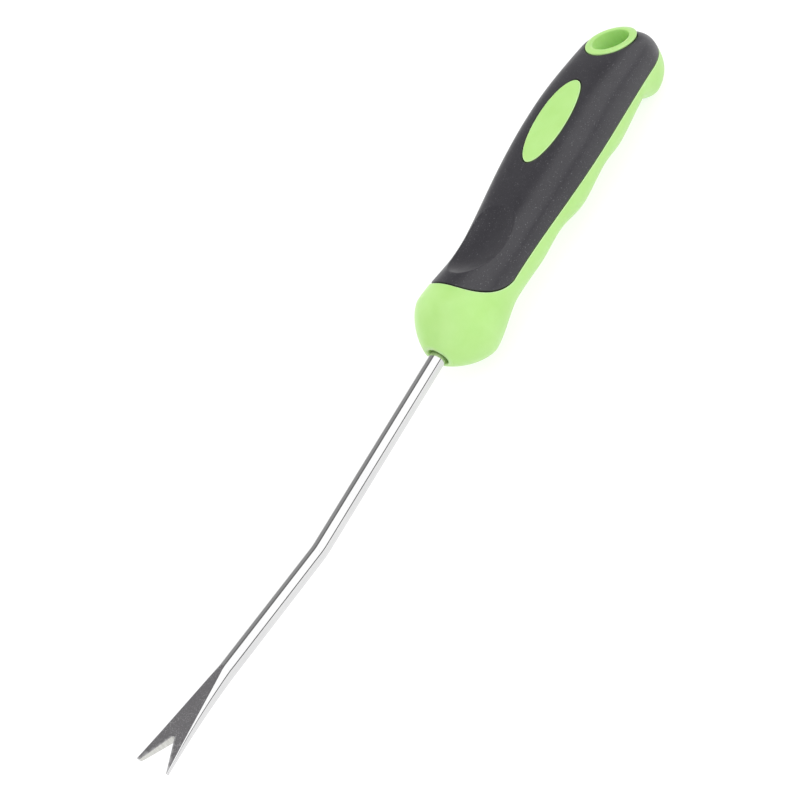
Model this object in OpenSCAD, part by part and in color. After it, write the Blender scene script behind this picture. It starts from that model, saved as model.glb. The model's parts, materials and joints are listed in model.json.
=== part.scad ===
// Hand weeder: a forked steel rod in a two-colour moulded handle.
// X runs from the hang hole towards the fork, Z up through the thumb rest, and the straight
// part of the rod lies on the X axis. The hang hole is centred on the Z axis.

/* [Rod] */
// Rod diameter
rod_d = 6; // [4:0.5:9]
// Straight rod from the ball's front face to the bend
rod_straight = 78.7; // [50:0.1:120]
// Upward bend of the rod, in degrees
bend_angle = 8.4; // [0:0.1:20]
// Centreline radius of the bend
bend_r = 25; // [10:1:60]
// Round rod from the bend to the start of the flat blade
rod_lower = 47.6; // [30:0.1:90]

/* [Fork] */
// Length of the flat blade, from where its face leaves the rod to the tips
blade_len = 37.6; // [25:0.1:60]
// Slope of the ground face below the rod's line, in degrees
face_slope = 3.8; // [2:0.1:10]
// Width across the two tips
tip_w = 15.2; // [8:0.1:25]
// Radius of the rounded side edge at the tips
edge_r = 0.55; // [0.3:0.05:2]
// Depth of the notch between the tines
notch_depth = 11.2; // [6:0.1:20]
// Width of the notch at its bottom and at the tips
notch_floor = 0.9; // [0.4:0.1:3]
notch_open = 13.5; // [6:0.1:20]
// How far the notch sits off the middle, which leaves one tip sharp and one blunt
notch_shift = 0.5; // [-1.5:0.1:1.5]

/* [Handle] */
// Distance from the hang hole to the ball's front face
face_x = 137.3; // [110:0.1:160]
// Distance from the hang hole back to the rear end
rear_len = 12.1; // [10:0.1:25]
// Radius of the front ball
ball_r = 16; // [12:0.1:20]
// Distance from the front face to the ball's widest ring
ball_len = 13.8; // [10:0.1:25]
// Height of the ball's middle above the rod
ball_lift = 0.4; // [0:0.1:3]
// Half width at the neck and at the palm
neck_w = 13.4; // [10:0.1:16]
palm_w = 17.1; // [13:0.1:22]
// Height of the top above the rod at the neck and at the palm
neck_top = 12.2; // [9:0.1:16]
palm_top = 14.4; // [10:0.1:20]
// Depth of the underside below the rod at a finger groove and at a finger ridge
groove_depth = 9.8; // [7:0.1:14]
ridge_depth = 12.6; // [9:0.1:18]
// Depth of the rear hook below the rod
hook_depth = 17.6; // [12:0.1:25]

/* [Openings] */
// Hang hole diameter
hang_d = 13.5; // [6:0.1:18]
// Outer diameter of the eyelet around the hang hole
eyelet_d = 19.6; // [12:0.1:28]
// Height of the eyelet's face above the rod, and its fall towards the rear in degrees
eyelet_top = 11.5; // [8:0.1:16]
eyelet_tilt = 15.6; // [0:0.1:30]
// Radius of the eyelet's domed face
eyelet_dome = 28; // [15:1:80]
// Distance from the hang hole to the middle of the oval
oval_x = 42.3; // [30:0.1:60]
// Length and width of the oval
oval_len = 38.4; // [20:0.1:60]
oval_w = 14.5; // [6:0.1:24]
// Diameter and depth of the recess where the rod enters
recess_d = 7.8; // [6.5:0.1:12]
recess_depth = 2.5; // [1:0.1:6]

/* [Grip] */
// Thickness of the soft grip at its sides and on its top
grip_side = 2.8; // [1.5:0.1:5]
grip_top = 4.4; // [2:0.1:6]
// Distance from the front face to the grip's front edge
grip_front = 19.8; // [15:0.1:30]
// Height of the grip's side edge above the rod
grip_edge = 1.5; // [-5:0.1:5]
// Distance from the front face to the lowest point of the thumb rest
thumb_back = 43; // [30:0.5:60]
// Height of that point above the rod, and the radius of the dished thumb rest
thumb_floor = 8.7; // [8:0.1:12]
thumb_r = 28; // [20:1:80]

/* [Tang] */
// Length of the rod inside the handle
tang_len = 100; // [60:1:120]
// Length, width and thickness of the flattened end that locks the rod
lock_len = 14; // [6:1:25]
lock_w = 9.2; // [7:0.1:14]
lock_t = 3.4; // [2:0.1:5]

/* [Hidden] */
// The bend is a hair thinner than the bars that overlap its ends
bend_thinning = 0.03;
bend_overlap = 1;

steel = [0.72, 0.72, 0.74];
leaf_green = [0.75, 0.94, 0.56];
rubber_black = [0.20, 0.20, 0.22];
round_fn = 64;

rod_r = rod_d / 2;
ball_x = face_x - ball_len;
neck_x = face_x - 35;
palm_x = face_x - 94;
full_x = face_x - 75;
cap_x = face_x - 134.2;
rings = 52;
segments = 40;
land_r = 5.4;

// Stations along the handle, from the ball to the rear, as [distance, size]
half_widths = [[ball_x, ball_r], [neck_x, neck_w], [palm_x, palm_w], [-rear_len - 4, palm_w - 2.3]];
tops = [[ball_x, ball_r + ball_lift], [face_x - 46, neck_top], [face_x - 104, palm_top], [-28, 7.7]];
bottoms = [
    [ball_x, ball_r - ball_lift],
    [face_x - 34, groove_depth + 1.9],
    [face_x - 49, ridge_depth - 0.4],
    [face_x - 63, groove_depth],
    [face_x - 77, ridge_depth + 0.4],
    [face_x - 93, groove_depth],
    [face_x - 105, ridge_depth - 0.6],
    [face_x - 124, groove_depth + 0.4],
    [1.3, hook_depth],
    [-28, hook_depth]
];
centres = [[ball_x, ball_lift], [neck_x, 0], [8, 0], [-18, -4]];
// How square the upper and the lower half of a section are, where 2 is a plain ellipse
top_squareness = [[ball_x - 5, 2], [full_x, 3.3], [-rear_len, 3]];
under_squareness = [[ball_x - 5, 2], [full_x, 2.3], [-rear_len, 2.5]];

// Eased value at x in a list of stations that run rearward
function eased(x, list, i = 0) =
    x >= list[0][0] ? list[0][1] :
    i >= len(list) - 1 ? list[len(list) - 1][1] :
    x >= list[i + 1][0] ? ease(list[i], list[i + 1], x) :
    eased(x, list, i + 1);
function ease(a, b, x) =
    let (t = (a[0] - x) / (a[0] - b[0]))
    a[1] + (b[1] - a[1]) * t * t * (3 - 2 * t);

// The ball's front and the rear end close on a rounded curve
function curve(t, n) = pow(max(0, 1 - pow(min(1, max(0, t)), n)), 1 / n);
function ball_at(x) = max(land_r / ball_r, curve((x - ball_x) / (ball_len * 1.16), 1.5));
function closing(x, end_x) = x > ball_x ? ball_at(x) : curve((cap_x - x) / (cap_x - end_x), 2.3);

// Distance from a section's middle to its edge, in the direction of angle a
function reach(a, w, h, n) = pow(pow(abs(cos(a)) / w, n) + pow(abs(sin(a)) / h, n), -1 / n);
function section(x, end_x, side, top) =
    let (
        c = closing(x, end_x),
        z0 = eased(x, centres),
        w = (eased(x, half_widths) - side) * c,
        up = (eased(x, tops) - top - z0) * c,
        down = (eased(x, bottoms) - side + z0) * c
    )
    [for (k = [0:segments - 1])
        let (
            a = 360 * k / segments,
            n = sin(a) > 0 ? eased(x, top_squareness) : eased(x, under_squareness),
            r = reach(a, w, sin(a) > 0 ? up : down, n)
        )
        [x, r * cos(a), z0 + r * sin(a)]
    ];

// Closed skin through a row of sections, thinner all round by the given amounts
module loft(start_x, end_x, side = 0, top = 0) {
    span = start_x - end_x;
    // sections sit closer together near both ends
    places = [for (i = [0:rings])
        let (t = i / rings)
        start_x - span * (0.5 * t + 0.25 * (1 - cos(180 * t))) * 0.999
    ];
    points = [for (x = places) each section(x, end_x, side, top)];
    last = rings * segments;
    skin = [for (i = [0:rings - 1], k = [0:segments - 1])
        let (k2 = (k + 1) % segments)
        each [
            [i * segments + k, (i + 1) * segments + k, (i + 1) * segments + k2],
            [i * segments + k, (i + 1) * segments + k2, i * segments + k2]
        ]
    ];
    front = [[for (k = [segments - 1:-1:0]) k]];
    back = [[for (k = [0:segments - 1]) last + k]];
    polyhedron(points = points, faces = concat(front, skin, back), convexity = 6);
}

module handle_skin() {
    loft(face_x, -rear_len);
}

// The grip's outline seen from the side: rounded front edge, then one long side edge
function side_edge(x) = grip_edge - 4.2 * pow(max(0, (face_x - 80 - x) / 70), 2);
module grip_outline() {
    front_x = face_x - grip_front;
    sweep = 15;
    nose = [for (a = [0:9:90])
        [front_x - sweep + sweep * pow(cos(a), 1.38), 16 - (16 - grip_edge) * pow(sin(a), 1.38)]
    ];
    edge = [for (x = [face_x - 80:-10:-rear_len - 8]) [x, side_edge(x)]];
    polygon(concat([[front_x, 30]], nose, edge, [[-rear_len - 8, 30]]));
}

// Raised collar around the hang hole, with a domed face that falls towards the rear
module eyelet() {
    intersection() {
        cylinder(d = eyelet_d, h = 40, $fn = round_fn);
        translate([
            eyelet_dome * sin(eyelet_tilt), 0, eyelet_top - eyelet_dome * cos(eyelet_tilt)
        ])
            sphere(r = eyelet_dome, $fn = 96);
    }
}

// Everything that belongs to the soft grip, before the handle's skin trims it
module grip_space() {
    difference() {
        rotate([90, 0, 0])
            linear_extrude(height = 60, center = true)
                grip_outline();
        loft(face_x - grip_front - 3, -rear_len + 3, grip_side, grip_top);
        cylinder(d = eyelet_d, h = 80, center = true, $fn = round_fn);
        translate([oval_x, 0, 0])
            linear_extrude(height = 40)
                oval(oval_len, oval_w);
    }
}

module oval(length, width) {
    polygon([for (a = [0:7.5:359]) [length / 2 * cos(a), width / 2 * sin(a)]]);
}

// Round bar along X, starting at x
module bar(x, length, r) {
    translate([x, 0, 0])
        rotate([0, 90, 0])
            cylinder(r = r, h = length, $fn = round_fn);
}

// Flattened end of the rod that keeps it from turning or pulling out
module tang_lock() {
    intersection() {
        bar(face_x - tang_len, lock_len, lock_w / 2);
        translate([face_x - tang_len + lock_len / 2, 0, 0])
            cube([lock_len + 2, lock_w + 2, lock_t], center = true);
    }
}

// Hidden tang and straight rod, as far as the bend
module tang(length) {
    bar(face_x - tang_len, length, rod_r);
    tang_lock();
}

// Places its children at the bend's end, with X along the lower rod
module after_bend() {
    trim = bend_r * tan(bend_angle / 2);
    translate([face_x + rod_straight, 0, 0])
        rotate([0, -bend_angle, 0])
            translate([trim, 0, 0])
                children();
}

module rod() {
    trim = bend_r * tan(bend_angle / 2);
    tang(tang_len + rod_straight - trim + bend_overlap);
    translate([face_x + rod_straight - trim, 0, bend_r])
        rotate([90, 0, 0])
            rotate([0, 0, -90])
                rotate_extrude(angle = bend_angle, $fn = round_fn)
                    translate([bend_r, 0])
                        circle(r = rod_r - bend_thinning, $fn = round_fn);
    after_bend()
        bar(-bend_overlap, rod_lower + bend_overlap, rod_r);
}

// Half width, side radius and middle height of the blade at distance b from its start
function spread(b) = let (u = max(0, b) / blade_len) rod_r + (tip_w / 2 - rod_r) * (u + u * u) / 2;
function side_r(b) = edge_r + (rod_r - edge_r) * pow(1 - max(0, b) / blade_len, 0.66);
function side_z(b) = let (u = max(0, b) / blade_len) 0.88 * u * (1 - u);
function face_z(b) = rod_r - b * tan(face_slope);

// Flattened rod across the blade: rounded sides, and the flat ground face on top
function blade_section(b) =
    let (
        inset = b < 0.5 ? 0.04 : 0,
        r = side_r(b) - inset,
        y0 = spread(b) - side_r(b),
        z0 = side_z(b),
        rise = min(84, asin(min(1, (face_z(b) - z0) / r))),
        side = [for (k = [0:12])
            let (a = rise - (rise + 90) * k / 12)
            [y0 + r * cos(a), z0 + r * sin(a)]
        ]
    )
    concat(side, [for (k = [12:-1:0]) [-side[k][0] - (k == 12 ? 0.01 : 0), side[k][1]]]);

module blade() {
    stations = [-3, 0.1, 0.8, 1.5, 3, 5, 8, 11, 14, 17, 20, 23, 26, 29, 31.5, 33.5, 35.2, 36.6, blade_len];
    outlines = [for (b = stations) blade_section(b)];
    count = len(outlines[0]);
    last = (len(stations) - 1) * count;
    points = [for (i = [0:len(stations) - 1], p = outlines[i])
        [rod_lower + stations[i], p[0], p[1]]
    ];
    skin = [for (i = [0:len(stations) - 2], k = [0:count - 1])
        let (k2 = (k + 1) % count, a = i * count, c = a + count)
        each [[a + k, a + k2, c + k2], [a + k, c + k2, c + k]]
    ];
    front = [[for (k = [count - 1:-1:0]) k]];
    back = [[for (k = [0:count - 1]) last + k]];
    difference() {
        polyhedron(points = points, faces = concat(front, skin, back), convexity = 4);
        translate([rod_lower + blade_len - notch_depth, notch_shift, -20])
            linear_extrude(height = 40)
                notch_outline();
    }
}

// The notch seen from above, a little longer than the tines
module notch_outline() {
    end = 1.1;
    half_floor = notch_floor / 2;
    half_open = half_floor + (notch_open / 2 - half_floor) * end;
    polygon([
        [0, half_floor], [notch_depth * end, half_open],
        [notch_depth * end, -half_open], [0, -half_floor]
    ]);
}

module shaft() {
    color(steel) {
        rod();
        after_bend()
            blade();
    }
}

module handle_body() {
    color(leaf_green)
        difference() {
            union() {
                difference() {
                    handle_skin();
                    grip_space();
                }
                eyelet();
            }
            tang(tang_len + 5);
            bar(face_x - recess_depth, recess_depth + 5, recess_d / 2);
            cylinder(d = hang_d, h = 80, center = true, $fn = round_fn);
        }
}

module soft_grip() {
    color(rubber_black)
        difference() {
            intersection() {
                handle_skin();
                grip_space();
            }
            translate([face_x - thumb_back, 0, thumb_floor + thumb_r])
                sphere(r = thumb_r, $fn = 96);
        }
}

shaft();
handle_body();
soft_grip();
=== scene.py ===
import json
from math import asin, atan2, cos, pi, radians, sin, tan

import bpy
import numpy as np
from mathutils import Matrix, Vector


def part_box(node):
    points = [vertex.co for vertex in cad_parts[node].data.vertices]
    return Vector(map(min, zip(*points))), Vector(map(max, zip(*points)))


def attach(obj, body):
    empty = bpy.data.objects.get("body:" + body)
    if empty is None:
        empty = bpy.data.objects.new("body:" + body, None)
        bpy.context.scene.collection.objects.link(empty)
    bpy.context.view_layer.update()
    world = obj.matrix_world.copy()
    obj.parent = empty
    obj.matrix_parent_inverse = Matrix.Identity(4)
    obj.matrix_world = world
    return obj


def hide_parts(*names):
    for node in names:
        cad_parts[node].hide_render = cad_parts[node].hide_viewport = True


# Lengths are in millimetres in the row frame, and MM turns them into Blender's metres.
# X runs from the hang hole to the fork, Z up through the thumb rest.
MM = 0.001
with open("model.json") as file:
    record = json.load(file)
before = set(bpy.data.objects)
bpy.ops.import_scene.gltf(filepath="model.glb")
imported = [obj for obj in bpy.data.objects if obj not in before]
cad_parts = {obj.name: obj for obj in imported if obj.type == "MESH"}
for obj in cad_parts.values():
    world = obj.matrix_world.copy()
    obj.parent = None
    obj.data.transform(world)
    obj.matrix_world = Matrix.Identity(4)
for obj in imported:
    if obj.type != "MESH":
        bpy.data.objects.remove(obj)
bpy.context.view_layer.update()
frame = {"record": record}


def box_mm(node):
    low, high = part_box(node)
    return np.array(low) / MM, np.array(high) / MM


BODY_LOW, BODY_HIGH = box_mm("handle_body")
GRIP_HIGH = box_mm("soft_grip")[1]
SHAFT_LOW, SHAFT_HIGH = box_mm("shaft")

# Handle
FACE_X = BODY_HIGH[0]
REAR_X = BODY_LOW[0]
PALM_W = BODY_HIGH[1]
HOOK_DEPTH = -BODY_LOW[2] + 1.0
BALL_R = 16.0
BALL_LEN = 13.8
BALL_LIFT = 0.4
BALL_REACH = 1.16
BALL_POWER = 1.5
REAR_POWER = 2.3
LAND_R = 5.4
NECK_W = 13.4
NECK_TOP = 12.2
PALM_TOP = 14.4
GROOVE = 9.8
RIDGE = 12.6
BALL_X = FACE_X - BALL_LEN
NECK_X = FACE_X - 35
FULL_X = FACE_X - 75
CAP_X = FACE_X - 134.2

# Openings and grip
HANG_R = frame["record"]["mounts"][0]["dims"]["r_mm"]
EYELET_R = HANG_R + 3.05
EYELET_DOME = 28.0
EYELET_MIDDLE = (EYELET_DOME * sin(radians(15.6)), 11.5 - EYELET_DOME * cos(radians(15.6)))
OVAL_X = 42.3
OVAL_A = 19.2
OVAL_B = 7.25
GRIP_FRONT = GRIP_HIGH[0]
GRIP_EDGE = 1.5
GRIP_T = 2.0
CORNER_LEN = 15.0
CORNER_TOP = 16.0
CORNER_POWER = 1.38
SEAM_GAP = 0.20
SEAM_DEPTH = 0.9
SEAM_LEVELS = (0.0, -0.56, -0.42, -0.31, -0.23, -0.19, 0.05, 0.12, 0.25, 0.5)
THUMB = np.array([FACE_X - 43.0, 0.0, 36.7])
THUMB_R = 28.0
RECESS_R = 3.9
RECESS_DEPTH = 2.5

# Rod and fork
ROD_R = 3.0
BEND_X = FACE_X + 78.7
BEND_A = radians(8.4)
BEND_R = 25.0
ROD_LOWER = 47.6
BLADE_LEN = 37.6
FACE_SLOPE = tan(radians(3.8))
TIP_HALF = SHAFT_HIGH[1]
EDGE_R = 0.55
NOTCH_DEPTH = 11.2
NOTCH_FLOOR_R = 0.45
NOTCH_OPEN = 6.75
NOTCH_SHIFT = 0.5
TANG_START = SHAFT_LOW[0]
LOCK_LEN = 14.0
LOCK_W = 9.2
LOCK_T = 3.4

# Half sizes along the handle, as (distance, size), eased from one to the next
HALF_WIDTHS = [(BALL_X, BALL_R), (NECK_X, NECK_W), (FACE_X - 94, PALM_W), (REAR_X - 4, PALM_W - 2.3)]
TOPS = [(BALL_X, BALL_R + BALL_LIFT), (FACE_X - 46, NECK_TOP), (FACE_X - 104, PALM_TOP), (-28, 7.7)]
BOTTOMS = [
    (BALL_X, BALL_R - BALL_LIFT), (FACE_X - 34, GROOVE + 1.9), (FACE_X - 49, RIDGE - 0.4),
    (FACE_X - 63, GROOVE), (FACE_X - 77, RIDGE + 0.4), (FACE_X - 93, GROOVE),
    (FACE_X - 105, RIDGE - 0.6), (FACE_X - 124, GROOVE + 0.4), (1.3, HOOK_DEPTH), (-28, HOOK_DEPTH),
]
CENTRES = [(BALL_X, BALL_LIFT), (NECK_X, 0), (8, 0), (-18, -4)]
TOP_SQUARENESS = [(BALL_X - 5, 2), (FULL_X, 3.3), (REAR_X, 3)]
UNDER_SQUARENESS = [(BALL_X - 5, 2), (FULL_X, 2.3), (REAR_X, 2.5)]

# Pitch of the handle's mesh
ROWS = 306
COLUMNS = 208

# Studio and camera
SKY = 1.46
GLOW = 0.74
FLOOR_R = 10000.0
FILL_AT = np.array([-100.0, -1000.0, 450.0])
CAMERA_AT = Vector((334.86, 371.80, 373.27))
CAMERA_LOOKS_AT = Vector((156.40, -4.72, 0.18))
CAMERA_ROLL = radians(-40.82)
CAMERA_LENS = 74.34


def eased(x, stations):
    """Value at x in stations that run rearward, with a level tangent at each one."""
    x = np.asarray(x, float)
    out = np.full(x.shape, float(stations[0][1]))
    for (x0, v0), (x1, v1) in zip(stations, stations[1:]):
        t = np.clip((x0 - x) / (x0 - x1), 0, 1)
        out += (v1 - v0) * t * t * (3 - 2 * t)
    return out


def curve(t, n):
    return np.power(np.maximum(0, 1 - np.power(np.clip(t, 0, 1), n)), 1 / n)


def closing(x):
    """How far the sections close towards the ball's front face and the rear end."""
    front = np.maximum(LAND_R / BALL_R, curve((x - BALL_X) / (BALL_LEN * BALL_REACH), BALL_POWER))
    rear = curve((CAP_X - x) / (CAP_X - REAR_X), REAR_POWER)
    return np.where(x > BALL_X, front, rear)


def skin(x, a):
    """Points of the handle's outer skin at distance x and direction a around the section."""
    c = closing(x)
    z0 = eased(x, CENTRES)
    w = eased(x, HALF_WIDTHS) * c
    up = (eased(x, TOPS) - z0) * c
    down = (eased(x, BOTTOMS) + z0) * c
    over = np.sin(a) > 0
    n = np.where(over, eased(x, TOP_SQUARENESS), eased(x, UNDER_SQUARENESS))
    h = np.where(over, up, down)
    r = ((np.abs(np.cos(a)) / w) ** n + (np.abs(np.sin(a)) / h) ** n) ** (-1 / n)
    return np.stack([x, r * np.cos(a), z0 + r * np.sin(a)], -1)


def grid_faces(rows, columns):
    """Triangles of a tube of rows of points, with a fan to one point before and one after."""
    k = np.arange(columns)
    k2 = (k + 1) % columns
    faces = []
    for i in range(rows - 1):
        a = i * columns
        b = a + columns
        faces.append(np.stack([a + k, b + k, b + k2], 1))
        faces.append(np.stack([a + k, b + k2, a + k2], 1))
    first = rows * columns
    faces.append(np.stack([np.full(columns, first), k, k2], 1))
    last = (rows - 1) * columns
    faces.append(np.stack([last + k, np.full(columns, first + 1), last + k2], 1))
    return np.concatenate(faces)


def corner_normals(points, faces):
    """Smooth normal at every point."""
    p = points[faces]
    n = np.cross(p[:, 1] - p[:, 0], p[:, 2] - p[:, 0])
    out = np.zeros_like(points)
    for k in range(3):
        np.add.at(out, faces[:, k], n)
    return out / np.maximum(np.linalg.norm(out, axis=1, keepdims=True), 1e-12)


def crossing_points(data, f, crossing, column, level):
    """New rows of data where edges of the triangles f cross the level, and their indices."""
    pairs = [(0, 1), (1, 2), (2, 0)]
    ends = np.concatenate([np.sort(f[crossing[:, e]][:, list(p)], 1) for e, p in enumerate(pairs)])
    unique, inverse = np.unique(ends, axis=0, return_inverse=True)
    inverse = inverse.ravel()
    v0 = data[unique[:, 0], column] - level
    v1 = data[unique[:, 1], column] - level
    t = (v0 / (v0 - v1))[:, None]
    fresh = data[unique[:, 0]] * (1 - t) + data[unique[:, 1]] * t
    fresh[:, column] = level
    made = np.full((len(f), 3), -1)
    start = 0
    for e in range(3):
        count = crossing[:, e].sum()
        made[crossing[:, e], e] = len(data) + inverse[start:start + count]
        start += count
    return np.concatenate([data, fresh]), made


def cut(data, faces, column, level, snap=0.03):
    """Splits triangles so that data[:, column] == level runs along their edges."""
    value = data[:, column] - level
    near = np.abs(value) < snap
    data[near, column] = level
    side = np.where(near, 0, np.sign(value)).astype(int)
    corners = side[faces]
    crossing = corners * np.roll(corners, -1, 1) < 0
    touched = crossing.any(1)
    keep, f, crossing = faces[~touched], faces[touched], crossing[touched]
    if not len(f):
        return data, keep
    data, made = crossing_points(data, f, crossing, column, level)
    out = [keep]
    double = crossing.sum(1) == 2
    for e in range(3):
        a, b, c = e, (e + 1) % 3, (e + 2) % 3
        # the corner a is alone where its two edges cross
        rows = double & crossing[:, e] & crossing[:, c]
        m1, m2 = made[rows, e], made[rows, c]
        g = f[rows]
        out.append(np.stack([g[:, a], m1, m2], 1))
        out.append(np.stack([m1, g[:, b], g[:, c]], 1))
        out.append(np.stack([m1, g[:, c], m2], 1))
        # one crossing edge, with the opposite corner already on the level
        rows = ~double & crossing[:, e]
        m1 = made[rows, e]
        g = f[rows]
        out.append(np.stack([g[:, a], m1, g[:, c]], 1))
        out.append(np.stack([m1, g[:, b], g[:, c]], 1))
    return data, np.concatenate(out)


def open_edges(faces):
    """Directed edges that only one triangle uses."""
    edges = np.concatenate([faces[:, [0, 1]], faces[:, [1, 2]], faces[:, [2, 0]]])
    key = np.sort(edges, 1)
    found = np.unique(key, axis=0, return_inverse=True, return_counts=True)
    return edges[found[2][found[1].ravel()] == 1]


def wall(edges, shift):
    """Quads, as triangles, from each edge down to its copy at index + shift."""
    a, b = edges[:, 0], edges[:, 1]
    return np.concatenate([np.stack([b, a, a + shift], 1), np.stack([b, a + shift, b + shift], 1)])


def zipper(one, two, key):
    """Triangles between two rows of point numbers that run the same way, matched by key."""
    one = sorted(one, key=key)
    two = sorted(two, key=key)
    faces = []
    i = j = 0
    while i < len(one) - 1 or j < len(two) - 1:
        step_one = i < len(one) - 1 and (j == len(two) - 1 or key(one[i + 1]) <= key(two[j + 1]))
        if step_one:
            faces.append((one[i], one[i + 1], two[j]))
            i += 1
        else:
            faces.append((one[i], two[j + 1], two[j]))
            j += 1
    return np.array(faces)


def rounding(distance, size):
    """Depth below the skin of an edge rounded over size, at a distance from the edge."""
    d = np.clip(distance, 0, size)
    return size - np.sqrt(np.maximum(0, size * size - (size - d) ** 2))


def mesh_object(name, points, faces, node, sharp, sunk=None):
    """A closed Blender mesh in metres that stands for a CAD node.

    sunk is each point's depth below the handle's skin, which the materials read.
    """
    used, inverse = np.unique(faces, return_inverse=True)
    mesh = bpy.data.meshes.new(name)
    mesh.from_pydata((points[used] * MM).tolist(), [], inverse.reshape(faces.shape).tolist())
    mesh.polygons.foreach_set("use_smooth", [True] * len(mesh.polygons))
    piece = bpy.data.objects.new(name, mesh)
    bpy.context.scene.collection.objects.link(piece)
    if sunk is not None:
        mesh.attributes.new("sunk", "FLOAT", "POINT").data.foreach_set("value", sunk[used])
    mesh.set_sharp_from_angle(angle=radians(sharp))
    mesh.update()
    mesh.validate()
    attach(piece, "root")
    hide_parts(node)
    return piece


# ---- handle -------------------------------------------------------------------------------


def side_edge(x):
    return GRIP_EDGE - 4.2 * np.power(np.maximum(0, (FACE_X - 80 - x) / 70), 2)


def grip_outline():
    """The grip's lower outline seen from the side, from above the front edge to the rear."""
    front = [(GRIP_FRONT, 40.0)]
    for a in np.radians(np.arange(0, 91, 6)):
        ahead = max(0.0, cos(a)) ** CORNER_POWER
        below = sin(a) ** CORNER_POWER
        x = GRIP_FRONT - CORNER_LEN * (1 - ahead)
        front.append((x, CORNER_TOP - (CORNER_TOP - GRIP_EDGE) * below))
    rear = [(x, float(side_edge(x))) for x in np.arange(FACE_X - 80, REAR_X - 12, -4.0)]
    return np.array(front + rear)


def distance_to_line(x, z, line):
    """Signed distance in the side view, positive above and behind the line."""
    p = np.stack([x, z], -1)
    best = np.full(x.shape, 1e9)
    sign = np.ones(x.shape)
    for a, b in zip(line, line[1:]):
        ab = b - a
        ap = p - a
        t = np.clip((ap @ ab) / (ab @ ab), 0, 1)
        away = ap - t[..., None] * ab
        d = np.sqrt((away ** 2).sum(-1))
        closer = d < best
        best = np.where(closer, d, best)
        side = ab[0] * ap[..., 1] - ab[1] * ap[..., 0]
        sign = np.where(closer, np.where(side < 0, 1.0, -1.0), sign)
    return best * sign


def grip_field(p):
    """Distance into the grip's area, negative on the green plastic."""
    x, y, z = p[:, 0], p[:, 1], p[:, 2]
    field = distance_to_line(x, z, grip_outline())
    u, v = (x - OVAL_X) / OVAL_A, y / OVAL_B
    g = np.sqrt(u * u + v * v) + 1e-9
    slope = np.sqrt((u / OVAL_A) ** 2 + (v / OVAL_B) ** 2) / g
    oval = (g - 1) / np.maximum(slope, 1e-9)
    eyelet = np.hypot(x, y) - EYELET_R
    return np.where(z > 0, np.minimum(field, np.minimum(oval, eyelet)), field)


def thumb_floor(x, y):
    inside = THUMB_R ** 2 - (x - THUMB[0]) ** 2 - y ** 2
    return np.where(inside > 0, THUMB[2] - np.sqrt(np.maximum(inside, 0)), 1e3)


def eyelet_face(x, y):
    """Height of the domed face of the collar round the hang hole."""
    x0, z0 = EYELET_MIDDLE
    return z0 + np.sqrt(np.maximum(0, EYELET_DOME ** 2 - (x - x0) ** 2 - y * y))


def front_rings(angles):
    """Rings from inside the rod, over the recess and its lip, out to the ball's land."""
    recess = [
        (-RECESS_DEPTH, ROD_R - 0.3), (-RECESS_DEPTH, RECESS_R - 0.3), (-RECESS_DEPTH + 0.3, RECESS_R),
        (-0.9, RECESS_R), (-0.45, RECESS_R), (-0.15, RECESS_R + 0.12), (0, RECESS_R + 0.4),
    ]
    rings = []
    for x, r in recess:
        rings.append(np.stack([FACE_X + x + 0 * angles, r * np.cos(angles), r * np.sin(angles)], 1))
    return rings


def handle_grid():
    """Closed skin of the handle as rings of points, with the front recess and the rear end."""
    angles = np.arange(COLUMNS) * 2 * pi / COLUMNS
    t = np.linspace(0, 1, ROWS)
    places = FACE_X - (FACE_X - REAR_X) * (0.5 * t + 0.25 * (1 - np.cos(pi * t))) * 0.99995
    rings = front_rings(angles)
    rings += [skin(np.full(COLUMNS, x), angles) for x in places]
    ends = [[FACE_X - RECESS_DEPTH, 0, 0], [REAR_X, 0, float(eased(REAR_X, CENTRES))]]
    return np.concatenate(rings + [ends]), grid_faces(len(rings), COLUMNS)


def handle_data():
    """Points, normals and fields of the handle, cut along every seam and edge."""
    points, faces = handle_grid()
    normals = corner_normals(points, faces)
    hole = np.hypot(points[:, 0], points[:, 1]) - HANG_R
    dish = points[:, 2] - thumb_floor(points[:, 0], points[:, 1])
    dish = np.where(points[:, 2] > 0, dish, -9.0)
    fields = np.stack([grip_field(points), hole, dish], 1)
    data = np.concatenate([points, normals, fields], 1)
    for level in SEAM_LEVELS:
        data, faces = cut(data, faces, 6, level, snap=0.015)
    for level in (0.0, 0.1, 0.25, 0.5, 0.8, 1.2):
        data, faces = cut(data, faces, 7, level)
    data, faces = cut(data, faces, 8, 0.0)
    data[:, 3:6] /= np.linalg.norm(data[:, 3:6], axis=1, keepdims=True)
    return data, faces


def middle(data, faces, column):
    return data[faces, column].mean(1)


def build_grip(data, faces):
    """Black overmould: skin with rounded edges and the thumb rest, closed by walls and a back."""
    p, n = data[:, :3].copy(), data[:, 3:6]
    seam, dish = data[:, 6], data[:, 8]
    soft = 0.12
    p[:, 2] -= 0.5 * (dish + np.sqrt(dish * dish + soft * soft)) * (dish > -4)
    sunk = rounding(seam, 0.5)
    top = p - n * sunk[:, None]
    back = p - n * GRIP_T
    outer = faces[(middle(data, faces, 6) > 0) & (middle(data, faces, 7) > 0)]
    edges = open_edges(outer)
    shift = len(p)
    every = np.concatenate([outer, outer[:, ::-1] + shift, wall(edges, shift)])
    both = np.concatenate([top, back])
    depth = np.concatenate([sunk, np.full(shift, GRIP_T)])
    return mesh_object("grip_skin", both, every, "soft_grip", 50, depth)


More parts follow.
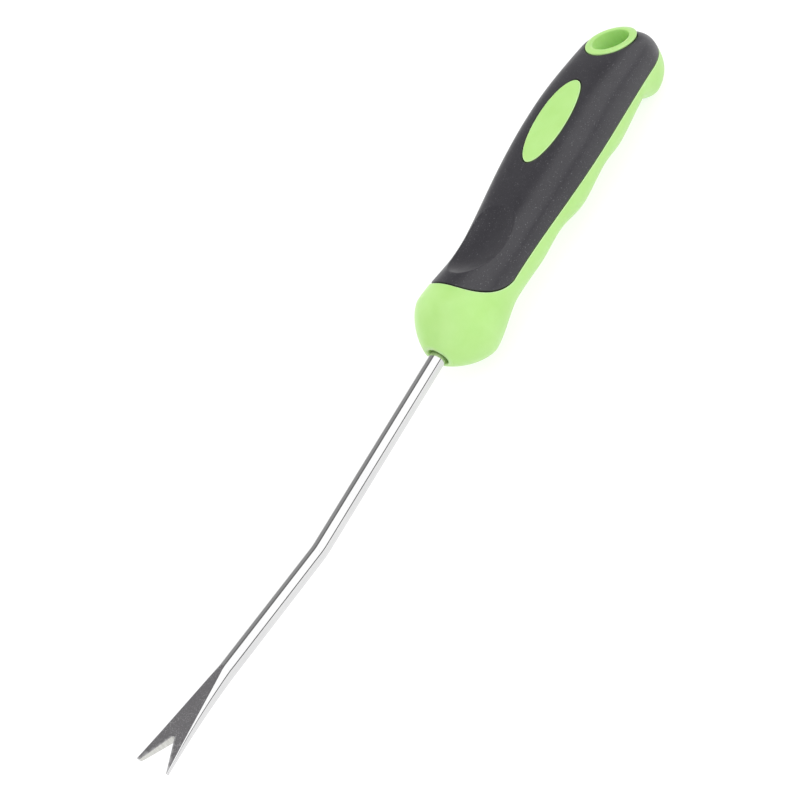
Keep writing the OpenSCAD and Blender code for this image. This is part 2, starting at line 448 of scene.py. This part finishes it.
def bore_wall(p, rims):
    """Wall of the hang hole between its upper and lower rims."""
    upper = [i for i in rims if p[i, 2] > 0]
    lower = [i for i in rims if p[i, 2] <= 0]

    def around(i):
        return atan2(p[i, 1], p[i, 0])

    first_up, last_up = min(upper, key=around), max(upper, key=around)
    first_low, last_low = min(lower, key=around), max(lower, key=around)
    seal = np.array([(last_up, first_up, last_low), (first_up, first_low, last_low)])
    return np.concatenate([zipper(upper, lower, around), seal])


def build_body(data, faces):
    """Green plastic: ball, underside, oval and eyelet at full height, sunk where the grip covers it."""
    p, n = data[:, :3].copy(), data[:, 3:6]
    seam, hole, dish = data[:, 6], data[:, 7], data[:, 8]
    in_eyelet = (np.hypot(p[:, 0], p[:, 1]) < EYELET_R + 0.01) & (p[:, 2] > 0)
    raised = p.copy()
    raised[:, 2] = np.where(in_eyelet, np.maximum(p[:, 2], eyelet_face(p[:, 0], p[:, 1])), p[:, 2])
    sign = np.where(p[:, 2] > 0, -1.0, 1.0)
    sunk = np.where(seam > -SEAM_GAP, SEAM_DEPTH, 0.0) + rounding(-SEAM_GAP - seam, 0.35)
    top = raised - n * sunk[:, None]
    top[:, 2] += sign * rounding(hole, 1.2)
    dented = p.copy()
    dented[:, 2] -= np.maximum(dish, 0)
    back = dented - n * (GRIP_T + 0.02)
    solid = middle(data, faces, 7) > 0
    green = faces[(middle(data, faces, 6) < 0) & solid]
    covered = faces[(middle(data, faces, 6) > 0) & solid]
    shift = len(p)
    edges = open_edges(green)
    at_hole = np.abs(hole[edges]).max(1) < 1e-6
    bore = bore_wall(p, np.unique(edges[at_hole]))
    every = np.concatenate([green, covered + shift, wall(edges[~at_hole], shift), bore])
    both = np.concatenate([top, back])
    depth = np.concatenate([sunk - raised[:, 2] + p[:, 2], np.full(shift, GRIP_T)])
    return mesh_object("handle_shell", both, every, "handle_body", 50, depth)


# ---- shaft --------------------------------------------------------------------------------


def path_frame(s):
    """Point on the rod's line and the direction across it that points up, s from the bend's end."""
    trim = BEND_R * tan(BEND_A / 2)
    arc = BEND_R * BEND_A
    start = BEND_X - trim
    if s >= 0:
        end_x = BEND_X + trim * cos(BEND_A)
        origin = np.array([end_x + s * cos(BEND_A), 0, (trim + s) * sin(BEND_A)])
        return origin, np.array([-sin(BEND_A), 0, cos(BEND_A)])
    if s > -arc:
        turn = BEND_A * (1 + s / arc)
        origin = np.array([start + BEND_R * sin(turn), 0, BEND_R * (1 - cos(turn))])
        return origin, np.array([-sin(turn), 0, cos(turn)])
    return np.array([start + s + arc, 0, 0]), np.array([0, 0, 1.0])


def blade_section(s):
    """Half outline across the rod or blade, from the middle of the top round to the underside."""
    b = max(0.0, s - ROD_LOWER)
    u = b / BLADE_LEN
    radius = EDGE_R + (ROD_R - EDGE_R) * (1 - u) ** 0.66
    middle_y = ROD_R + (TIP_HALF - ROD_R) * (u + u * u) / 2 - radius
    middle_z = 0.88 * u * (1 - u)
    face = ROD_R - b * FACE_SLOPE
    rise = min(radians(84), asin(min(1.0, (face - middle_z) / radius)))
    edge_y = middle_y + radius * cos(rise)
    top_z = middle_z + radius * sin(rise)
    corner = 0.03 + 0.1 * min(1.0, b / 3)
    points = [((edge_y - corner) * q, top_z) for q in np.linspace(0, 1, 7)]
    first = rise - corner / radius
    turn = first + pi / 2
    closely = 3 * radius * turn
    for q in np.linspace(0, closely + middle_y, 40):
        a = first - turn * min(1.0, q / closely)
        y = middle_y + radius * cos(a) - max(0.0, q - closely)
        points.append((y, middle_z + radius * sin(a)))
    return points


def shaft_places():
    """Distances along the rod's line: wide steps on the straights, fine ones where it changes."""
    trim = BEND_R * tan(BEND_A / 2)
    arc = BEND_R * BEND_A
    rear = -(BEND_X - trim - TANG_START) - arc
    places = list(np.linspace(rear, -arc, 70)) + list(np.linspace(-arc, 0, 11)[1:])
    places += list(np.linspace(0, ROD_LOWER, 24)[1:])
    places += list(ROD_LOWER + 9 * np.linspace(0, 1, 26)[1:] ** 1.6)
    places += list(ROD_LOWER + np.linspace(9, BLADE_LEN, 64)[1:])
    return places


def notch_field(b, y):
    """Distance from the notch between the tines, negative inside it."""
    y = y - NOTCH_SHIFT
    b = b - (BLADE_LEN - NOTCH_DEPTH) - NOTCH_FLOOR_R
    half_angle = atan2(NOTCH_OPEN - NOTCH_FLOOR_R, NOTCH_DEPTH)
    sides = np.abs(y) * cos(half_angle) - b * sin(half_angle) - NOTCH_FLOOR_R
    return np.where(b < -np.abs(y) * tan(half_angle), np.hypot(b, y) - NOTCH_FLOOR_R, sides)


def fan_rung(triangle, chain):
    """Splits a triangle whose side joins the ends of chain, so that it follows the chain."""
    ends = (chain[0], chain[-1])
    k = [i for i in range(3) if triangle[i] not in ends][0]
    apex, first = triangle[k], triangle[(k + 1) % 3]
    ordered = chain if first == chain[0] else chain[::-1]
    return [(apex, p, q) for p, q in zip(ordered, ordered[1:])]


def notch_walls(points, rim, b, h):
    """Walls of the notch between its edges on the face, on the underside and on the tips."""
    at_tip = b[rim] > BLADE_LEN - 1e-6
    caps = []
    for sign in (-1, 1):
        chain = [i for i in rim[at_tip] if (points[i, 1] - NOTCH_SHIFT) * sign > 0]
        caps.append(sorted(chain, key=lambda i: -h[i]))
    caps = [chain for chain in caps if chain]
    corners = {chain[k] for chain in caps for k in (0, -1)}
    rest = [i for i in rim if b[i] <= BLADE_LEN - 1e-6 or i in corners]

    def along(i):
        y = points[i, 1] - NOTCH_SHIFT
        return y + np.sign(y) * (b[i] - BLADE_LEN + NOTCH_DEPTH)

    upper = [i for i in rest if h[i] > 0]
    lower = [i for i in rest if h[i] <= 0]
    web = zipper(upper, lower, along)
    for chain in caps:
        k = 0 if points[chain[0], 1] < NOTCH_SHIFT else len(web) - 1
        web = np.concatenate([web[:k], fan_rung(web[k], chain), web[k + 1:]])
    return web


def build_shaft():
    """Plated rod with its bend, the hidden tang and the forked blade, as one closed mesh."""
    places = shaft_places()
    rings = []
    for s in places:
        origin, up = path_frame(s)
        half = np.array(blade_section(s))
        outline = np.concatenate([half, half[-2:0:-1] * [-1, 1]])
        if origin[0] < TANG_START + LOCK_LEN:
            outline = outline * [LOCK_W / ROD_R / 2, LOCK_T / ROD_R / 2]
        rings.append(origin + outline[:, :1] * np.array([0, 1.0, 0]) + outline[:, 1:] * up)
    columns = len(rings[0])
    ends = [rings[0].mean(0), rings[-1].mean(0)]
    points = np.concatenate(rings + [ends])
    faces = grid_faces(len(rings), columns)
    along = np.concatenate([np.repeat(places, columns), [places[0], places[-1]]]) - ROD_LOWER
    data = np.concatenate([points, along[:, None], notch_field(along, points[:, 1])[:, None]], 1)
    data, faces = cut(data, faces, 4, 0.0, snap=0.02)
    faces = faces[data[faces, 4].mean(1) > 0]
    origin, up = path_frame(ROD_LOWER)
    h = (data[:, :3] - origin) @ up
    walls = notch_walls(data[:, :3], np.unique(open_edges(faces)), data[:, 3], h)
    every = np.concatenate([faces, walls[:, ::-1]])
    return mesh_object("weeder_rod", data[:, :3], every, "shaft", 38)


# ---- materials ----------------------------------------------------------------------------


class Nodes:
    """Small helper that adds shader nodes to one material."""

    def __init__(self, name):
        self.material = bpy.data.materials.new(name)
        self.material.use_nodes = True
        self.tree = self.material.node_tree
        self.shader = self.tree.nodes["Principled BSDF"]
        self.place = self.add("ShaderNodeTexCoord").outputs["Object"]

    def add(self, kind, **settings):
        node = self.tree.nodes.new(kind)
        for key, value in settings.items():
            setattr(node, key, value)
        return node

    def link(self, value, socket):
        if isinstance(value, bpy.types.NodeSocket):
            self.tree.links.new(value, socket)
        else:
            socket.default_value = value

    def noise(self, size_mm, detail=2.0, rough=0.5, stretch=(1, 1, 1)):
        """Noise whose features are about size_mm across."""
        node = self.add("ShaderNodeTexNoise")
        place = self.place
        if stretch != (1, 1, 1):
            mapping = self.add("ShaderNodeMapping")
            self.link(place, mapping.inputs["Vector"])
            mapping.inputs["Scale"].default_value = stretch
            place = mapping.outputs["Vector"]
        self.link(place, node.inputs["Vector"])
        node.inputs["Scale"].default_value = 1 / (size_mm * MM)
        node.inputs["Detail"].default_value = detail
        node.inputs["Roughness"].default_value = rough
        return node.outputs["Fac"]

    def ramp(self, value, stops):
        """Piecewise grey or colour through stops of (place, colour)."""
        node = self.add("ShaderNodeValToRGB")
        self.link(value, node.inputs["Fac"])
        points = node.color_ramp.elements
        while len(points) < len(stops):
            points.new(0.5)
        for point, (place, colour) in zip(points, stops):
            grey = isinstance(colour, (int, float))
            point.position = place
            point.color = (colour, colour, colour, 1) if grey else (*colour, 1)
        return node.outputs["Color"]

    def mix(self, factor, one, two, blend="MIX"):
        node = self.add("ShaderNodeMix", data_type="RGBA", blend_type=blend)
        self.link(factor, node.inputs["Factor"])
        self.link(one if isinstance(one, bpy.types.NodeSocket) else (*one, 1), node.inputs["A"])
        self.link(two if isinstance(two, bpy.types.NodeSocket) else (*two, 1), node.inputs["B"])
        return node.outputs["Result"]

    def math(self, operation, one, two=0.0):
        node = self.add("ShaderNodeMath", operation=operation)
        self.link(one, node.inputs[0])
        self.link(two, node.inputs[1])
        return node.outputs[0]

    def edges(self, low, high):
        """0 on flat areas, rising to 1 along the sharpest outer edges."""
        sharp = self.add("ShaderNodeNewGeometry").outputs["Pointiness"]
        return self.ramp(sharp, [(low, 0.0), (high, 1.0)])

    def sunk(self):
        """Depth below the handle's skin in millimetres."""
        return self.add("ShaderNodeAttribute", attribute_name="sunk").outputs["Fac"]

    def painted_groove_shade(self, low_mm, high_mm):
        """Mask for painted shade: 0 on the handle's skin, rising to 1 down in the groove between the two
        materials.
        """
        return self.ramp(self.sunk(), [(low_mm, 0.0), (high_mm, 1.0)])

    def bump(self, height, depth_mm, strength=1.0, normal=None):
        node = self.add("ShaderNodeBump")
        node.inputs["Strength"].default_value = strength
        node.inputs["Distance"].default_value = depth_mm * MM
        self.link(height, node.inputs["Height"])
        if normal is not None:
            self.link(normal, node.inputs["Normal"])
        return node.outputs["Normal"]

    def finish(self, colour, roughness, normal, **constants):
        self.link(colour, self.shader.inputs["Base Color"])
        self.link(roughness, self.shader.inputs["Roughness"])
        self.link(normal, self.shader.inputs["Normal"])
        for key, value in constants.items():
            self.shader.inputs[key.replace("_", " ").title().replace("Ior", "IOR")].default_value = value
        return self.material


def green_plastic():
    m = Nodes("green_plastic")
    cloud = m.noise(15, 3, 0.55)
    grain = m.noise(0.45, 3, 0.6)
    colour = m.ramp(cloud, [(0.3, (0.415, 0.715, 0.205)), (0.7, (0.470, 0.765, 0.260))])
    colour = m.mix(m.ramp(grain, [(0.35, 0.0), (0.75, 0.10)]), colour, (0.54, 0.82, 0.34))
    rubbed = m.ramp(m.noise(1.6, 4, 0.7), [(0.35, 0.15), (0.7, 0.5)])
    worn = m.math("MULTIPLY", m.edges(0.505, 0.56), rubbed)
    colour = m.mix(worn, colour, (0.60, 0.84, 0.42))
    # painted highlight: a paler band along the rounded green edge where it meets the grip
    lip = m.ramp(m.sunk(), [(0.0, 0.0), (0.02, 0.55), (0.09, 0.55), (0.13, 0.0)])
    colour = m.mix(lip, colour, (0.66, 0.84, 0.55))
    # painted shade: dark green down in the groove at the seam with the grip, where shade falls
    colour = m.mix(m.painted_groove_shade(0.12, 0.4), colour, (0.05, 0.085, 0.02))
    roughness = m.ramp(m.noise(5, 4, 0.65), [(0.3, 0.28), (0.7, 0.38)])
    skin_bump = m.bump(grain, 0.012, 0.5)
    normal = m.bump(m.noise(7, 2, 0.5), 0.05, 0.3, skin_bump)
    return m.finish(colour, roughness, normal, ior=1.45, subsurface_weight=0.05, subsurface_scale=0.002)


def black_rubber():
    m = Nodes("black_rubber")
    grain = m.noise(0.28, 4, 0.7)
    cloud = m.noise(14, 3, 0.6)
    colour = m.ramp(cloud, [(0.3, (0.021, 0.0195, 0.0250)), (0.7, (0.029, 0.0275, 0.0335))])
    colour = m.mix(m.ramp(grain, [(0.4, 0.0), (0.8, 0.5)]), colour, (0.062, 0.060, 0.068))
    specks = m.ramp(m.noise(0.50, 1, 0.5), [(0.66, 0.0), (0.73, 0.5)])
    colour = m.mix(specks, colour, (0.17, 0.17, 0.18))
    rubbed = m.ramp(m.noise(1.2, 4, 0.7), [(0.35, 0.2), (0.7, 0.6)])
    worn = m.math("MULTIPLY", m.edges(0.505, 0.58), rubbed)
    colour = m.mix(worn, colour, (0.085, 0.083, 0.090))
    # painted shade: near black along the grip's rounded edge and walls at the seam with the green
    colour = m.mix(m.painted_groove_shade(0.005, 0.10), colour, (0.010, 0.013, 0.009))
    roughness = m.ramp(m.noise(3, 4, 0.65), [(0.3, 0.33), (0.7, 0.43)])
    normal = m.bump(grain, 0.02, 0.5)
    return m.finish(colour, roughness, normal, ior=1.5)


def chrome():
    m = Nodes("chrome")
    grain = m.noise(0.8, 3, 0.6)
    colour = m.ramp(m.noise(18, 3, 0.6), [(0.3, (0.67, 0.67, 0.675)), (0.7, (0.71, 0.71, 0.71))])
    worn = m.math("MULTIPLY", m.edges(0.53, 0.62), 0.3)
    colour = m.mix(worn, colour, (0.55, 0.55, 0.56))
    roughness = m.ramp(grain, [(0.35, 0.04), (0.75, 0.09)])
    normal = m.bump(m.noise(4, 2, 0.5), 0.004, 0.3)
    return m.finish(colour, roughness, normal, metallic=1.0)


def satin_face():
    m = Nodes("satin_face")
    grain = m.noise(0.42, 4, 0.75)
    greys = [(0.35, (0.17, 0.163, 0.172)), (0.56, (0.28, 0.273, 0.283)), (0.68, (0.95, 0.95, 0.94))]
    colour = m.ramp(grain, greys)
    calm = m.ramp(m.noise(9, 3, 0.6), [(0.35, 0.85), (0.65, 0.15)])
    colour = m.mix(calm, colour, (0.215, 0.208, 0.218))
    colour = m.mix(m.edges(0.53, 0.62), colour, (0.72, 0.72, 0.73))
    roughness = m.ramp(m.noise(1.0, 4, 0.7), [(0.3, 0.38), (0.7, 0.55)])
    normal = m.bump(grain, 0.02, 0.5)
    return m.finish(colour, roughness, normal, metallic=0.7)


def cut_metal():
    m = Nodes("cut_metal")
    streak = m.noise(0.35, 3, 0.6, (1, 1, 0.08))
    colour = m.ramp(streak, [(0.3, (0.25, 0.247, 0.225)), (0.7, (0.37, 0.367, 0.335))])
    colour = m.mix(m.edges(0.53, 0.62), colour, (0.70, 0.70, 0.67))
    roughness = m.ramp(m.noise(1.2, 3, 0.6), [(0.3, 0.28), (0.7, 0.42)])
    return m.finish(colour, roughness, m.bump(streak, 0.01, 0.5), metallic=0.9)


def paint_shaft(rod):
    """Chrome all over, a ground satin face on top of the blade and bright walls in the notch."""
    for material in (chrome(), satin_face(), cut_metal()):
        rod.data.materials.append(material)
    up = path_frame(0)[1]
    ahead = np.array([cos(BEND_A), 0, sin(BEND_A)])
    origin = path_frame(ROD_LOWER)[0]
    for polygon in rod.data.polygons:
        centre = np.array(polygon.center) / MM - origin
        normal = np.array(polygon.normal)
        b, h = centre @ ahead, centre @ up
        face = ROD_R - b * FACE_SLOPE
        in_notch = notch_field(b, centre[1]) < 0.05 and abs(normal @ up) < 0.5 and normal @ ahead < 0.9
        if b > 0.2 and face - h < 0.02 and normal @ up > 0.95:
            polygon.material_index = 1
        elif b > BLADE_LEN - NOTCH_DEPTH - 0.1 and in_notch:
            polygon.material_index = 2


# ---- studio -------------------------------------------------------------------------------


def floor_material():
    m = Nodes("pale_floor")
    tone = m.ramp(m.noise(60, 2, 0.5), [(0.3, 0.31), (0.7, 0.34)])
    m.link(tone, m.shader.inputs["Base Color"])
    m.shader.inputs["Roughness"].default_value = 0.7
    m.shader.inputs["Specular IOR Level"].default_value = 0.2
    m.shader.inputs["Emission Color"].default_value = (1, 1, 1, 1)
    m.shader.inputs["Emission Strength"].default_value = GLOW
    clear = m.add("ShaderNodeBsdfTransparent").outputs["BSDF"]
    behind = m.add("ShaderNodeNewGeometry").outputs["Backfacing"]
    one_sided = m.add("ShaderNodeMixShader")
    m.link(behind, one_sided.inputs["Fac"])
    m.link(m.shader.outputs["BSDF"], one_sided.inputs[1])
    m.link(clear, one_sided.inputs[2])
    m.link(one_sided.outputs[0], m.tree.nodes["Material Output"].inputs["Surface"])
    return m.material


def build_floor():
    """Pale disc under the tool, seen from above only."""
    mesh = bpy.data.meshes.new("floor")
    centre = (BODY_LOW + SHAFT_HIGH) / 2
    rim = []
    for a in np.linspace(0, 2 * pi, 97)[:-1]:
        rim.append(((centre[0] + FLOOR_R * cos(a)) * MM, FLOOR_R * sin(a) * MM, BODY_LOW[2] * MM))
    mesh.from_pydata(rim, [], [tuple(range(96))])
    floor = bpy.data.objects.new("floor", mesh)
    bpy.context.scene.collection.objects.link(floor)
    floor.data.materials.append(floor_material())


def build_world():
    """Plain studio: dark at the near horizon, bright up to overhead, darker past it, grey beyond.

    The stops are (share of the half turn over the tool from the near side, brightness).
    """
    world = bpy.data.worlds.new("studio")
    world.use_nodes = True
    bpy.context.scene.world = world
    nodes, links = world.node_tree.nodes, world.node_tree.links
    place = nodes.new("ShaderNodeTexCoord")
    split = nodes.new("ShaderNodeSeparateXYZ")
    angle = nodes.new("ShaderNodeMath")
    angle.operation = "ARCTAN2"
    share = nodes.new("ShaderNodeMath")
    share.operation = "DIVIDE"
    share.inputs[1].default_value = pi
    ramp = nodes.new("ShaderNodeValToRGB")
    links.new(place.outputs["Generated"], split.inputs[0])
    links.new(split.outputs["Z"], angle.inputs[0])
    links.new(split.outputs["Y"], angle.inputs[1])
    links.new(angle.outputs[0], share.inputs[0])
    links.new(share.outputs[0], ramp.inputs["Fac"])
    stops = [
        (0.0, 0.12), (0.065, 0.12), (0.075, 1.0), (0.555, 1.0), (0.565, 0.14), (0.66, 0.14),
        (0.72, 0.25), (1.0, 0.30),
    ]
    points = ramp.color_ramp.elements
    while len(points) < len(stops):
        points.new(0.5)
    for point, (at, grey) in zip(points, stops):
        point.position = at
        point.color = (grey, grey, grey, 1)
    sky = nodes["Background"]
    links.new(ramp.outputs["Color"], sky.inputs["Color"])
    sky.inputs["Strength"].default_value = SKY


def area_light(name, place, target, size, watts):
    light = bpy.data.lights.new(name, "AREA")
    light.shape = "RECTANGLE"
    light.size, light.size_y = size
    light.energy = watts
    lamp = bpy.data.objects.new(name, light)
    bpy.context.scene.collection.objects.link(lamp)
    lamp.location = Vector(place) * MM
    lamp.rotation_mode = "QUATERNION"
    lamp.rotation_quaternion = (Vector(target) * MM - lamp.location).to_track_quat("-Z", "Y")
    lamp.visible_glossy = False
    return lamp


def build_camera():
    data = bpy.data.cameras.new("camera")
    data.lens = CAMERA_LENS
    data.sensor_width = 36.0
    data.clip_start, data.clip_end = 0.01, 20.0
    camera = bpy.data.objects.new("camera", data)
    bpy.context.scene.collection.objects.link(camera)
    turn = (CAMERA_LOOKS_AT - CAMERA_AT).to_track_quat("-Z", "Y").to_matrix()
    turn = turn @ Matrix.Rotation(CAMERA_ROLL, 3, "Z")
    camera.matrix_world = Matrix.Translation(CAMERA_AT * MM) @ turn.to_4x4()
    bpy.context.scene.camera = camera


def main():
    data, faces = handle_data()
    grip = build_grip(data, faces)
    grip.data.materials.append(black_rubber())
    body = build_body(data, faces)
    body.data.materials.append(green_plastic())
    rod = build_shaft()
    paint_shaft(rod)
    build_floor()
    build_world()
    middle = (BODY_LOW + SHAFT_HIGH) / 2
    area_light("fill", (middle[0] + FILL_AT[0], FILL_AT[1], FILL_AT[2]), middle, (1.0, 0.8), 7.5)
    build_camera()
    bpy.context.scene.view_settings.view_transform = "Standard"
    return grip, body, rod


main()
